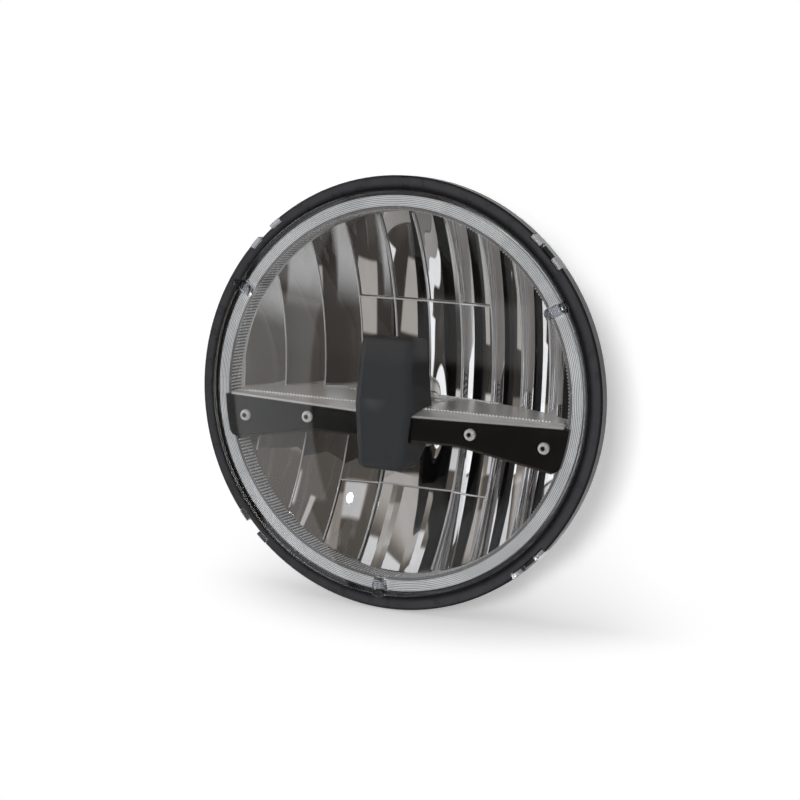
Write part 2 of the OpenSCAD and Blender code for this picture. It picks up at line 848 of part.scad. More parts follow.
module board_screws() {
    up = core_top_z + pad_t + led_board_t;
    down = bar_low_in - pad_t - led_board_t;
    color("#9a9a9a") axial() board_screw_places() {
        upright(up, board_screw_r + 0.9, 1);
        upright(up - 5, board_screw_r, 5);
        upright(down - 1, board_screw_r + 0.9, 1);
        upright(down, board_screw_r, 3.6);
    }
}

module rear_housing() {
    color("#202022") axial() difference() {
        union() {
            difference() {
                housing_outside();
                housing_inside();
            }
            core_pad();
            standoff_copies() translate([0, 0, driver_board_h])
                cylinder(r = standoff_r, h = pot_floor_h - driver_board_h + 0.5, $fn = small_fn);
        }
        core_screw_places() translate([0, 0, -60]) cylinder(r = core_hole_r, h = 60, $fn = small_fn);
        // Way for the leads into the driver pot
        translate([0, 10, -60]) cylinder(r = 4, h = 40, $fn = small_fn);
        standoff_copies()
            translate([0, 0, driver_board_h - 1]) cylinder(r = driver_screw_r + 0.1, h = 6, $fn = small_fn);
        cover_screw_copies()
            translate([0, 0, -pot_depth - 1]) cylinder(r = cover_screw_r + 0.1, h = 12, $fn = small_fn);
    }
}

module housing_outside() {
    housing_shell();
    fins();
    translate([0, 0, -pot_depth]) linear_extrude(height = pot_depth + pot_front_h) pot_outline();
    catches();
    lugs();
}

// The driver pot with the bosses of the cover screws
module pot_outline() {
    circle(r = pot_r, $fn = round_fn);
    cover_screw_copies() circle(r = cover_boss_r, $fn = small_fn);
}

module housing_inside() {
    intersection() {
        translate([0, 0, bowl_centre_h]) sphere(r = cavity_sphere_r, $fn = round_fn);
        drum(housing_lower_r, -60, 10);
    }
    drum(housing_bore_r, ledge_h, 10);
    drum(guide_r + fit, board_seat_h, 10);
    drum(pot_in_r, -pot_depth - 1, pot_floor_h);
}

module housing_shell() {
    intersection() {
        translate([0, 0, bowl_centre_h]) sphere(r = housing_sphere_r, $fn = round_fn);
        drum(spigot_r, -60, 1);
    }
    drum(housing_flange_r, 0, flange_t);
}

// Straight upright fins, trimmed to the shape of the bowl
module fins() {
    count = floor((spigot_r - 4) / fin_pitch);
    intersection() {
        rotate_extrude($fn = round_fn) polygon([
            [0, -20], [spigot_r - 12, -5], [spigot_r - 1.5, -5], [spigot_r - 4, -22],
            [spigot_r - 13, -fin_depth + 6], [spigot_r - 19, -fin_depth], [0, -fin_depth]]);
        for (i = [-count : count])
            box_between([i * fin_pitch - fin_t / 2, -90, -fin_depth], [i * fin_pitch + fin_t / 2, 90, 0]);
    }
}

// Catches that the snap hooks close over
module catches() {
    round_copies(hook_count, hook_start)
        sector(0, hook_window - 0.8, housing_flange_r - 1, rim_r - 0.7, 2.1, flange_t);
}

// Three lugs behind the flange, clear of the spigot, for the slots of the mounting ring
module lugs() {
    low = spigot_r + lug_gap;
    round_copies(3, 30) sector(0, lug_angle, low, low + lug_w, -lug_h, 0.5);
}

// Flat land for the core
module core_pad() {
    box_between([-core_half_w, bar_low_in, pot_floor_h + 1], [core_half_w, core_top_z, core_back_h]);
}

module standoff_copies() {
    for (a = [60, 180, 300]) rotate([0, 0, a]) translate([pot_in_r - 9, 0, 0]) children();
}

module cover_screw_copies() {
    for (i = [0 : cover_screw_count - 1]) rotate([0, 0, 45 + i * 360 / cover_screw_count])
        translate([cover_screw_ring, 0, 0]) children();
}

module driver_board() {
    color("#2e6b45") axial() difference() {
        drum(pot_in_r - 2.5, driver_back_h, driver_board_h);
        standoff_copies() translate([0, 0, -60]) cylinder(r = driver_screw_r + fit, h = 30, $fn = small_fn);
        translate([0, gland_z, -60]) cylinder(r = gland_bore_r, h = 30, $fn = small_fn);
    }
}

module driver_coil() {
    color("#3b3b3b") axial() translate([coil_place.x, coil_place.y, driver_back_h - coil_h]) difference() {
        cylinder(r = coil_r, h = coil_h, $fn = small_fn);
        translate([0, 0, -1]) cylinder(r = coil_bore_r, h = coil_h, $fn = small_fn);
    }
}

module driver_capacitors() {
    color("#4a4f5a") axial() for (place = can_places)
        translate([place.x, place.y, driver_back_h - can_h]) cylinder(r = can_r, h = can_h, $fn = small_fn);
}

module driver_screws() {
    color("#9a9a9a") axial() standoff_copies() {
        translate([0, 0, driver_back_h])
            cylinder(r = driver_screw_r, h = driver_board_t + driver_screw_grip, $fn = small_fn);
        translate([0, 0, driver_back_h - driver_screw_head_h])
            cylinder(r = driver_screw_head_r, h = driver_screw_head_h, $fn = small_fn);
    }
}

module rear_cover() {
    low = -pot_depth - rear_cover_t;
    color("#262628") axial() difference() {
        union() {
            translate([0, 0, low]) linear_extrude(height = rear_cover_t) pot_outline();
            drum(pot_in_r - 0.3, -pot_depth - 1, -pot_depth + 1.5);
        }
        drum(pot_in_r - 3, -pot_depth, -pot_depth + 2);
        cover_screw_copies()
            translate([0, 0, low - 1]) cylinder(r = cover_screw_r + fit, h = 10, $fn = small_fn);
        tube(seal_out_r, seal_in_r, -pot_depth - seal_groove, -pot_depth + 1);
        translate([0, gland_z, low - 1]) cylinder(r = gland_r + fit, h = 10, $fn = small_fn);
        translate([0, vent_z, low - 1]) cylinder(r = vent_r + fit, h = 10, $fn = small_fn);
    }
}

module rear_cover_seal() {
    color("#3a1f1b") axial() tube(seal_out_r - 0.1, seal_in_r + 0.1, -pot_depth - seal_groove, -pot_depth);
}

module rear_cover_screws() {
    low = -pot_depth - rear_cover_t;
    color("#9a9a9a") axial() cover_screw_copies() difference() {
        union() {
            translate([0, 0, low]) cylinder(r = cover_screw_r, h = cover_screw_len, $fn = small_fn);
            translate([0, 0, low - cover_screw_head_h])
                cylinder(r = cover_screw_head_r, h = cover_screw_head_h, $fn = small_fn);
        }
        translate([0, 0, low - cover_screw_head_h - 1])
            cylinder(r = cover_screw_head_r - 1.3, h = 2.6, $fn = 6);
    }
}

// Gland body through the rear cover, with its hexagon outside
module cable_gland() {
    low = -pot_depth - rear_cover_t;
    color("#1f1f1f") axial() translate([0, gland_z, 0]) difference() {
        union() {
            translate([0, 0, low]) cylinder(r = gland_r, h = rear_cover_t + 2, $fn = small_fn);
            translate([0, 0, low - gland_flange_t]) cylinder(r = gland_hex_r, h = gland_flange_t, $fn = 6);
            translate([0, 0, low - gland_flange_t - gland_thread_len])
                cylinder(r = gland_r - 0.4, h = gland_thread_len + over, $fn = small_fn);
        }
        // Cup for the seal, then the way for the cable
        translate([0, 0, low - 12]) cylinder(r = gland_r - gland_wall, h = 8.5, $fn = small_fn);
        translate([0, 0, low - 12]) cylinder(r = gland_bore_r, h = 20, $fn = small_fn);
    }
}

module gland_nut() {
    top = -pot_depth - rear_cover_t - gland_flange_t;
    color("#1f1f1f") axial() translate([0, gland_z, 0]) difference() {
        union() {
            translate([0, 0, top - gland_thread_len])
                cylinder(r = gland_hex_r - 0.3, h = gland_hex_h, $fn = 6);
            translate([0, 0, top - gland_nut_len]) rotate_extrude($fn = small_fn) polygon([
                [0, 0], [gland_r - 0.6, 0], [gland_r + 0.9, nut_round_h], [gland_r + 1.2, nut_cap_h],
                [0, nut_cap_h]]);
        }
        translate([0, 0, top - gland_nut_len + gland_lip_t])
            cylinder(r = gland_r - 0.2, h = gland_nut_len, $fn = small_fn);
        translate([0, 0, top - gland_nut_len - 1])
            cylinder(r = gland_bore_r, h = gland_nut_len + 1, $fn = small_fn);
    }
}

module gland_seal() {
    low = -pot_depth - rear_cover_t - gland_flange_t - gland_nut_len + gland_lip_t + 0.1;
    color("#101010") axial() translate([0, gland_z, low]) difference() {
        cylinder(r = gland_r - gland_wall - 0.2, h = gland_nut_len - gland_seal_setback, $fn = small_fn);
        translate([0, 0, -1]) cylinder(r = cable_r, h = gland_nut_len + 2, $fn = small_fn);
    }
}

module breather_vent() {
    low = -pot_depth - rear_cover_t;
    color("#1f1f1f") axial() translate([0, vent_z, 0]) difference() {
        union() {
            translate([0, 0, low]) cylinder(r = vent_r, h = rear_cover_t + 1.5, $fn = small_fn);
            translate([0, 0, low - 3.2]) rotate_extrude($fn = small_fn)
                polygon([[0, 0], [vent_r + 1.2, 0], [vent_r + 2, 0.8], [vent_r + 2, 3.2], [0, 3.2]]);
        }
        translate([0, 0, low - 1.2]) cylinder(r = vent_r - 1.4, h = 8, $fn = small_fn);
        for (a = [0 : 60 : 120]) rotate([0, 0, a]) translate([-10, -0.6, low - 1.1]) cube([20, 1.2, 1]);
    }
}

lens();
front_ring();
lens_seal();
light_guide();
ring_board();
ring_leds();
toothed_ring();
upper_reflector();
lower_reflector();
bar();
bar_screws();
centre_cover();
cover_screws();
heat_sink_core();
core_screws();
upper_led_board();
lower_led_board();
upper_leds();
lower_leds();
board_screws();
upper_thermal_pad();
lower_thermal_pad();
rear_housing();
driver_board();
driver_coil();
driver_capacitors();
driver_screws();
rear_cover();
rear_cover_seal();
rear_cover_screws();
cable_gland();
gland_nut();
gland_seal();
breather_vent();
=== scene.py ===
from math import cos, radians, sin, sqrt

import bmesh
import bpy
from mathutils import Matrix, Vector


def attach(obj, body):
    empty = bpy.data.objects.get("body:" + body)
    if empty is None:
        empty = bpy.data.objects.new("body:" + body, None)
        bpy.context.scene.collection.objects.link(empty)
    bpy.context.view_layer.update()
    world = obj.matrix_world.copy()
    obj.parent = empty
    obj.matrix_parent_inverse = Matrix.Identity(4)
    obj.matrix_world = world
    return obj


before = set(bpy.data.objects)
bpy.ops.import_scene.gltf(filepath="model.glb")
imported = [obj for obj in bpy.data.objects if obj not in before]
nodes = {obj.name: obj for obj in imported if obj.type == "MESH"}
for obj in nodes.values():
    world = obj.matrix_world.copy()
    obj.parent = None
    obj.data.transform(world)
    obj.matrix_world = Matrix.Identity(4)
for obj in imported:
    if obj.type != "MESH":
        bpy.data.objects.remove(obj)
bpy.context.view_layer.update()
mm = 0.001
print("frame loaded:", len(nodes), "nodes")

scene = bpy.context.scene
scene.view_settings.view_transform = "Standard"
scene.cycles.glossy_bounces = 8
scene.cycles.transparent_max_bounces = 24

# Camera at the photograph's viewing angle, the lamp looks along -Y
view = {
    "place": (0.3027, -0.6863, 0.0913),
    "azimuth": 23.78,
    "height": 7.14,
    "roll": 2.89,
    "lens": 82.79,
    "sensor": 36,
}


def placeCamera():
    az, el, roll = (radians(view[k]) for k in ("azimuth", "height", "roll"))
    back = Vector((sin(az) * cos(el), -cos(az) * cos(el), sin(el)))
    side = Vector((cos(az), sin(az), 0))
    up = back.cross(side)
    right = side * cos(roll) + up * sin(roll)
    up = back.cross(right)
    data = bpy.data.cameras.new("camera")
    data.lens = view["lens"]
    data.sensor_width = view["sensor"]
    data.clip_start = 0.01
    camera = bpy.data.objects.new("camera", data)
    scene.collection.objects.link(camera)
    turn = Matrix((right, up, back)).transposed().to_4x4()
    camera.matrix_world = Matrix.Translation(view["place"]) @ turn
    scene.camera = camera


placeCamera()


# Node helpers for the materials
def addNode(tree, kind, **values):
    node = tree.nodes.new(kind)
    for key, value in values.items():
        setattr(node, key, value)
    return node


def calc(tree, operation, *inputs, clamp=False):
    node = addNode(tree, "ShaderNodeMath", operation=operation, use_clamp=clamp)
    for i, value in enumerate(inputs):
        if isinstance(value, (int, float)):
            node.inputs[i].default_value = value
        else:
            tree.links.new(value, node.inputs[i])
    return node.outputs[0]


def noise(tree, scale, detail=3, vector=None):
    node = addNode(tree, "ShaderNodeTexNoise")
    node.inputs["Scale"].default_value = scale
    node.inputs["Detail"].default_value = detail
    if vector is None:
        vector = addNode(tree, "ShaderNodeTexCoord").outputs["Object"]
    tree.links.new(vector, node.inputs["Vector"])
    return node.outputs["Fac"]


# The object's own x, y and z
def ownPlace(tree):
    parts = addNode(tree, "ShaderNodeSeparateXYZ")
    tree.links.new(addNode(tree, "ShaderNodeTexCoord").outputs["Object"], parts.inputs[0])
    return parts.outputs["X"], parts.outputs["Y"], parts.outputs["Z"]


def fromAxis(tree):
    x, y, z = ownPlace(tree)
    return calc(tree, "SQRT", calc(tree, "ADD", calc(tree, "MULTIPLY", x, x), calc(tree, "MULTIPLY", z, z)))


def spread(tree, value, low, high):
    node = addNode(tree, "ShaderNodeMapRange")
    tree.links.new(value, node.inputs["Value"])
    node.inputs["From Min"].default_value = 0.3
    node.inputs["From Max"].default_value = 0.7
    node.inputs["To Min"].default_value = low
    node.inputs["To Max"].default_value = high
    return node.outputs["Result"]


def ramp(tree, value, start, end, low, high):
    node = addNode(tree, "ShaderNodeMapRange", interpolation_type="SMOOTHSTEP")
    tree.links.new(value, node.inputs["Value"])
    for key, number in (("From Min", start), ("From Max", end), ("To Min", low), ("To Max", high)):
        node.inputs[key].default_value = number
    return node.outputs["Result"]


def tint(tree, value, dark, light):
    node = addNode(tree, "ShaderNodeMix", data_type="RGBA")
    tree.links.new(value, node.inputs["Factor"])
    node.inputs["A"].default_value = (*dark, 1)
    node.inputs["B"].default_value = (*light, 1)
    return node.outputs["Result"]


def bump(tree, height, distance, strength=1.0):
    node = addNode(tree, "ShaderNodeBump")
    node.inputs["Distance"].default_value = distance
    node.inputs["Strength"].default_value = strength
    tree.links.new(height, node.inputs["Height"])
    return node.outputs["Normal"]


def newMaterial(name, metallic=0.0, ior=1.5, coat=0.0):
    material = bpy.data.materials.new(name)
    material.use_nodes = True
    tree = material.node_tree
    shader = tree.nodes["Principled BSDF"]
    shader.inputs["Metallic"].default_value = metallic
    shader.inputs["IOR"].default_value = ior
    shader.inputs["Coat Weight"].default_value = coat
    return material, tree, shader


# Finishes: colour pair, roughness pair, size of the grain and its depth in mm
finishes = {
    "barBlack": dict(dark=(0.003, 0.003, 0.003), light=(0.005, 0.005, 0.005), rough=(0.18, 0.24),
                     grain=3200, depth=0.0015, gloss=0.9),
    # Painted shade for the recesses of the bar's screw sockets
    "socketShade": dict(dark=(0.004, 0.004, 0.004), light=(0.01, 0.01, 0.01), rough=(0.4, 0.5),
                        grain=2500, depth=0.002, gloss=0.2),
    "shelfSatin": dict(dark=(0.6, 0.59, 0.58), light=(0.76, 0.75, 0.74), rough=(0.28, 0.4),
                       grain=700, depth=0.004, metallic=0.6),
    "coverGrey": dict(dark=(0.026, 0.028, 0.031), light=(0.034, 0.036, 0.039), rough=(0.42, 0.52),
                      grain=3000, depth=0.004),
    "sealRubber": dict(dark=(0.012, 0.012, 0.012), light=(0.02, 0.02, 0.02), rough=(0.6, 0.75),
                       grain=1500, depth=0.01),
    "beadChrome": dict(dark=(0.88, 0.88, 0.88), light=(0.95, 0.95, 0.95), rough=(0.12, 0.2),
                       grain=900, depth=0.0005, metallic=0.3, gloss=1),
    "ridgeChrome": dict(dark=(0.8, 0.8, 0.8), light=(0.92, 0.92, 0.92), rough=(0.12, 0.2),
                        grain=900, depth=0.0005, metallic=0.7),
    "boardWhite": dict(dark=(0.78, 0.78, 0.74), light=(0.84, 0.84, 0.8), rough=(0.3, 0.4),
                       grain=900, depth=0.002),
    "ledPhosphor": dict(dark=(0.75, 0.6, 0.12), light=(0.85, 0.7, 0.2), rough=(0.3, 0.4),
                        grain=1500, depth=0.004),
    "screwSteel": dict(dark=(0.66, 0.66, 0.65), light=(0.85, 0.85, 0.84), rough=(0.2, 0.3),
                       grain=2200, depth=0.001, metallic=0.6),
    "coreAluminium": dict(dark=(0.42, 0.43, 0.44), light=(0.56, 0.57, 0.58), rough=(0.4, 0.55),
                          grain=1200, depth=0.01, metallic=1),
    "padBlue": dict(dark=(0.2, 0.28, 0.38), light=(0.25, 0.34, 0.44), rough=(0.6, 0.7),
                    grain=1200, depth=0.01),
    "housingBlack": dict(dark=(0.017, 0.017, 0.018), light=(0.028, 0.028, 0.03), rough=(0.42, 0.56),
                         grain=1800, depth=0.02),
    "boardGreen": dict(dark=(0.012, 0.1, 0.05), light=(0.02, 0.14, 0.07), rough=(0.3, 0.4),
                       grain=900, depth=0.004),
    "ferrite": dict(dark=(0.035, 0.035, 0.037), light=(0.055, 0.055, 0.057), rough=(0.6, 0.7),
                    grain=1500, depth=0.01),
    "canAluminium": dict(dark=(0.36, 0.37, 0.4), light=(0.48, 0.49, 0.52), rough=(0.3, 0.4),
                         grain=1500, depth=0.002, metallic=1),
    "glandPlastic": dict(dark=(0.014, 0.014, 0.014), light=(0.024, 0.024, 0.024), rough=(0.36, 0.5),
                         grain=1600, depth=0.012),
}


def plainFinish(name, dark, light, rough, grain, depth, metallic=0.0, gloss=0.5):
    material, tree, shader = newMaterial(name, metallic)
    shader.inputs["Specular IOR Level"].default_value = gloss
    coarse = noise(tree, grain * 0.06, 4)
    fine = noise(tree, grain, 2)
    tree.links.new(tint(tree, coarse, dark, light), shader.inputs["Base Color"])
    tree.links.new(spread(tree, coarse, *rough), shader.inputs["Roughness"])
    tree.links.new(bump(tree, fine, depth * mm), shader.inputs["Normal"])
    return material


def mirrorFinish(name, colour, rough, waviness):
    material, tree, shader = newMaterial(name, 1.0)
    haze = noise(tree, 60, 5)
    wave = noise(tree, 45, 1)
    tree.links.new(tint(tree, haze, [c * 0.97 for c in colour], colour), shader.inputs["Base Color"])
    tree.links.new(spread(tree, haze, *rough), shader.inputs["Roughness"])
    tree.links.new(bump(tree, wave, waviness * mm), shader.inputs["Normal"])
    return material


# Black front ring, with a painted sheen that makes the middle of its face paler
ringShade = {"inner": 83.8, "middle": 86.2, "edge": 87.6, "outer": 88.8, "dark": (0.009, 0.009, 0.01),
             "light": (0.046, 0.046, 0.049), "rough": (0.24, 0.36), "gloss": 0.14}


def ringFinish(name):
    material, tree, shader = newMaterial(name)
    shader.inputs["Specular IOR Level"].default_value = ringShade["gloss"]
    radius = fromAxis(tree)
    # Painted sheen: paler from the inner edge to the middle, darker again at the outer edge
    rise = ramp(tree, radius, ringShade["inner"] * mm, ringShade["middle"] * mm, 0, 1)
    fall = ramp(tree, radius, ringShade["edge"] * mm, ringShade["outer"] * mm, 1, 0)
    blotch = noise(tree, 160, 5)
    shade = calc(tree, "MULTIPLY", calc(tree, "MULTIPLY", rise, fall), calc(tree, "ADD", blotch, 0.45))
    tree.links.new(tint(tree, shade, ringShade["dark"], ringShade["light"]), shader.inputs["Base Color"])
    tree.links.new(spread(tree, blotch, *ringShade["rough"]), shader.inputs["Roughness"])
    tree.links.new(bump(tree, noise(tree, 2500, 2), 0.002 * mm), shader.inputs["Normal"])
    return material


# Metallised teeth, bright on their crests, with painted shade darkening their roots
teeth = {"crestRadius": 75.05, "rootRadius": 75.5, "crest": (0.92, 0.92, 0.92), "root": (0.2, 0.2, 0.2),
         "metallic": 0.35, "rough": (0.2, 0.3)}


def teethFinish(name):
    material, tree, shader = newMaterial(name, teeth["metallic"])
    # Painted shade: darker from the crests towards the roots
    depth = ramp(tree, fromAxis(tree), teeth["crestRadius"] * mm, teeth["rootRadius"] * mm, 0, 1)
    tree.links.new(tint(tree, depth, teeth["crest"], teeth["root"]), shader.inputs["Base Color"])
    tree.links.new(spread(tree, noise(tree, 300, 3), *teeth["rough"]), shader.inputs["Roughness"])
    return material


# Clear moulding: a thin pane over the dome, full glass at the rim, with painted shade on the rim's side
# walls
clear = {"ior": 1.5, "paneGloss": 1.25, "domeRadius": 82.4, "haze": 0.03, "rimTint": (0.78, 0.8, 0.81),
         "flankShade": (0.1, 0.1, 0.11), "hookRadius": 85.2, "hookTint": (0.4, 0.41, 0.43),
         "padAngles": (30, 150, 270), "padRadius": 75, "padHalfWidth": 2.2}


# One on the three aiming pads, which cross from the rim on to the dome
def padMask(tree):
    x, y, z = ownPlace(tree)
    mask = None
    for angle in clear["padAngles"]:
        c, s = cos(radians(angle)), sin(radians(angle))
        along = calc(tree, "ADD", calc(tree, "MULTIPLY", x, c), calc(tree, "MULTIPLY", z, s))
        across = calc(tree, "SUBTRACT", calc(tree, "MULTIPLY", z, c), calc(tree, "MULTIPLY", x, s))
        inside = calc(tree, "MULTIPLY", calc(tree, "GREATER_THAN", along, clear["padRadius"] * mm),
                      calc(tree, "LESS_THAN", calc(tree, "ABSOLUTE", across), clear["padHalfWidth"] * mm))
        mask = inside if mask is None else calc(tree, "MAXIMUM", mask, inside)
    return mask


def clearFinish(name):
    material, tree, shader = newMaterial(name, 0.0, clear["ior"])
    links = tree.links
    shader.inputs["Transmission Weight"].default_value = 1
    facing = addNode(tree, "ShaderNodeSeparateXYZ")
    links.new(addNode(tree, "ShaderNodeTexCoord").outputs["Normal"], facing.inputs[0])
    # The rim's side walls take the flank colour, painted shade standing for the dark edges that refraction
    # gives clear flanks
    flat = ramp(tree, calc(tree, "ABSOLUTE", facing.outputs["Y"]), 0.1, 0.6, 0, 1)
    hook = calc(tree, "GREATER_THAN", fromAxis(tree), clear["hookRadius"] * mm)
    pads = padMask(tree)
    body = addNode(tree, "ShaderNodeMix", data_type="RGBA")
    links.new(calc(tree, "MULTIPLY", calc(tree, "MAXIMUM", hook, pads), flat), body.inputs["Factor"])
    links.new(tint(tree, flat, clear["flankShade"], clear["rimTint"]), body.inputs["A"])
    body.inputs["B"].default_value = (*clear["hookTint"], 1)
    links.new(body.outputs["Result"], shader.inputs["Base Color"])
    links.new(spread(tree, noise(tree, 40, 4), 0.0, clear["haze"]), shader.inputs["Roughness"])
    through = addNode(tree, "ShaderNodeBsdfTransparent")
    through.inputs["Color"].default_value = (0.985, 0.985, 0.985, 1)
    gloss = addNode(tree, "ShaderNodeBsdfGlossy")
    gloss.inputs["Roughness"].default_value = 0.02
    fresnel = addNode(tree, "ShaderNodeFresnel")
    fresnel.inputs["IOR"].default_value = clear["ior"]
    front = calc(tree, "SUBTRACT", 1.0, addNode(tree, "ShaderNodeNewGeometry").outputs["Backfacing"])
    gleam = calc(tree, "MULTIPLY", fresnel.outputs[0], clear["paneGloss"], clamp=True)
    share = calc(tree, "MULTIPLY", gleam, front)
    pane = addNode(tree, "ShaderNodeMixShader")
    links.new(share, pane.inputs[0])
    links.new(through.outputs[0], pane.inputs[1])
    links.new(gloss.outputs[0], pane.inputs[2])
    # The rim and the pads are full glass, the dome is a thin pane
    rim = calc(tree, "GREATER_THAN", fromAxis(tree), clear["domeRadius"] * mm)
    rim = calc(tree, "MAXIMUM", rim, pads)
    whole = addNode(tree, "ShaderNodeMixShader")
    links.new(rim, whole.inputs[0])
    links.new(pane.outputs[0], whole.inputs[1])
    links.new(shader.outputs[0], whole.inputs[2])
    # Lamps shine through it
    path = addNode(tree, "ShaderNodeLightPath")
    final = addNode(tree, "ShaderNodeMixShader")
    links.new(path.outputs["Is Shadow Ray"], final.inputs[0])
    links.new(whole.outputs[0], final.inputs[1])
    links.new(through.outputs[0], final.inputs[2])
    links.new(final.outputs[0], tree.nodes["Material Output"].inputs["Surface"])
    return material


# Clear guide ring, drawn opaque, with fine bright lines round it that are painted highlights along its
# grooves
guide = {"innerRadius": 76.7, "linePitch": 0.717, "line": (0.93, 0.94, 0.95), "body": (0.2, 0.21, 0.22),
         "lineShare": 0.4, "lineDepth": 0.8, "mottle": 0.3}


def guideFinish(name):
    material, tree, shader = newMaterial(name, 0.0, 1.49, coat=0.6)
    shader.inputs["Coat Roughness"].default_value = 0.08
    links = tree.links
    across = calc(tree, "DIVIDE", calc(tree, "SUBTRACT", fromAxis(tree), guide["innerRadius"] * mm),
                  guide["linePitch"] * mm)
    off = calc(tree, "PINGPONG", across, 0.5)
    # Painted highlights: a bright line every groove pitch
    line = ramp(tree, off, 0.06, guide["lineShare"], 0, 1)
    mottle = noise(tree, 90, 4)
    blotch = calc(tree, "MULTIPLY", mottle, guide["mottle"])
    shade = calc(tree, "MULTIPLY_ADD", line, guide["lineDepth"], blotch, clamp=True)
    links.new(tint(tree, shade, guide["line"], guide["body"]), shader.inputs["Base Color"])
    links.new(spread(tree, mottle, 0.16, 0.28), shader.inputs["Roughness"])
    return material


materials = {name: plainFinish(name, **values) for name, values in finishes.items()}
materials["mirrorCoat"] = mirrorFinish("mirrorCoat", (0.86, 0.86, 0.87), (0.02, 0.05), 0.02)
materials["mirrorTeeth"] = teethFinish("mirrorTeeth")
materials["ringBlack"] = ringFinish("ringBlack")
materials["clearLens"] = clearFinish("clearLens")
materials["clearGuide"] = guideFinish("clearGuide")
print("materials made:", len(materials))

# Which finish each CAD node takes
dress = {
    "lens": "clearLens", "front_ring": "ringBlack", "lens_seal": "sealRubber", "light_guide": "clearGuide",
    "ring_board": "boardWhite", "ring_leds": "ledPhosphor", "toothed_ring": "mirrorTeeth",
    "upper_reflector": "shelfSatin", "lower_reflector": "mirrorCoat", "bar": "barBlack",
    "bar_screws": "screwSteel", "centre_cover": "coverGrey", "cover_screws": "screwSteel",
    "heat_sink_core": "coreAluminium", "core_screws": "screwSteel", "upper_led_board": "boardWhite",
    "lower_led_board": "boardWhite", "upper_leds": "ledPhosphor", "lower_leds": "ledPhosphor",
    "board_screws": "screwSteel", "upper_thermal_pad": "padBlue", "lower_thermal_pad": "padBlue",
    "rear_housing": "housingBlack", "driver_board": "boardGreen", "driver_coil": "ferrite",
    "driver_capacitors": "canAluminium", "driver_screws": "screwSteel", "rear_cover": "housingBlack",
    "rear_cover_seal": "sealRubber", "rear_cover_screws": "screwSteel", "cable_gland": "glandPlastic",
    "gland_nut": "glandPlastic", "gland_seal": "sealRubber", "breather_vent": "glandPlastic",
}
for name, finish in dress.items():
    nodes[name].data.materials.clear()
    nodes[name].data.materials.append(materials[finish])
print("nodes dressed")

# Mirror skins over the bowls, in the facets' own form
bowl = {
    "rimRadius": 75.0,
    "rimHeight": -2.5,
    "depth": 28.7,
    "upperPitch": 15.0,
    "lowerPitch": 16.8,
    "slopeShare": 0.93,
    "crown": 0.45,
    "step": 0.9,
    "lowerStepShare": 0.7,
    "barGap": 1.15,
    "upperLedge": 37.0,
    "lowerLedge": -42.0,
    "shelf": -4.5,
    "shelfRise": 0.04,
    "beadHeight": 5.0,
    "upperReach": 74.2,
    "lowerReach": 70.0,
    "lift": 0.16,
    "skin": 0.08,
    "acrossCount": 20,
    "alongCount": 60,
}


# The bowls' strips bend light more than their shape does, on the side with the strong stripes
strips = {
    "light": (0.9, 0.9, 0.91),
    "dark": (0.873, 0.873, 0.8827),
    "rough": (0.01, 0.04),
    "crown": 1.0,
    "from": 2.0,
    "to": 10.0,
    "waviness": 0.02,
    "lipSpan": 26.0,
    "upperLean": 1.4,
    "lowerLean": 2.2,
    "barLow": -16,
}


def bowlFinish(name, pitch, lipHeight, lean):
    material, tree, shader = newMaterial(name, 1.0)
    haze = noise(tree, 60, 5)
    x, y, z = ownPlace(tree)
    along = calc(tree, "FRACT", calc(tree, "DIVIDE", x, pitch * mm))
    across = calc(tree, "MULTIPLY_ADD", along, 2, -1)
    side = ramp(tree, x, strips["from"] * mm, strips["to"] * mm, 0, strips["crown"])
    crown = calc(tree, "MULTIPLY", calc(tree, "MULTIPLY", across, across), side)
    # Beside the bar the strips lean away from it, so that they don't mirror it alone
    away = calc(tree, "ABSOLUTE", calc(tree, "SUBTRACT", z, lipHeight * mm))
    near = calc(tree, "SUBTRACT", 1, calc(tree, "DIVIDE", away, strips["lipSpan"] * mm), clamp=True)
    lip = calc(tree, "MULTIPLY", calc(tree, "MULTIPLY", near, near), calc(tree, "MULTIPLY", side, lean))
    wave = calc(tree, "MULTIPLY_ADD", noise(tree, 45, 1), strips["waviness"], lip)
    height = calc(tree, "SUBTRACT", wave, crown)
    tree.links.new(tint(tree, haze, strips["dark"], strips["light"]), shader.inputs["Base Color"])
    tree.links.new(spread(tree, haze, *strips["rough"]), shader.inputs["Roughness"])
    tree.links.new(bump(tree, height, mm), shader.inputs["Normal"])
    return material


materials["upperMirror"] = bowlFinish("upperMirror", bowl["upperPitch"], bowl["shelf"], strips["upperLean"])
materials["lowerMirror"] = bowlFinish("lowerMirror", bowl["lowerPitch"], strips["barLow"],
                                      strips["lowerLean"])


def bowlSphere():
    ball = (bowl["rimRadius"] ** 2 + bowl["depth"] ** 2) / (2 * bowl["depth"])
    return ball, bowl["rimHeight"] - bowl["depth"] + ball


def facetHeight(x, z, edges, grow):
    ball, centre = bowlSphere()
    low, high = edges
    middle, half = (low + high) / 2, (high - low) / 2
    t = (x - middle) / half
    base = sqrt(ball * ball - middle * middle) + grow
    slope = -middle / base * bowl["slopeShare"]
    reach = base + slope * half * t - bowl["crown"] * (1 - t * t) - bowl["lift"]
    return centre - sqrt(reach * reach - z * z)


def facetSheet(mesh, edges, lowZ, highZ, grow, reach):
    low, high = max(edges[0], -reach), min(edges[1], reach)
    limit = bowl["rimRadius"] - 0.3
    grid = bmesh.ops.create_grid(mesh, x_segments=bowl["acrossCount"], y_segments=bowl["alongCount"],
                                 size=1)
    for vertex in grid["verts"]:
        x = low + (vertex.co.x + 1) / 2 * (high - low)
        rim = sqrt(limit * limit - x * x)
        bottom, top = max(lowZ(x), -rim), min(highZ(x), rim)
        z = bottom + (vertex.co.y + 1) / 2 * (top - bottom)
        vertex.co = (x * mm, -facetHeight(x, z, edges, grow) * mm, z * mm)


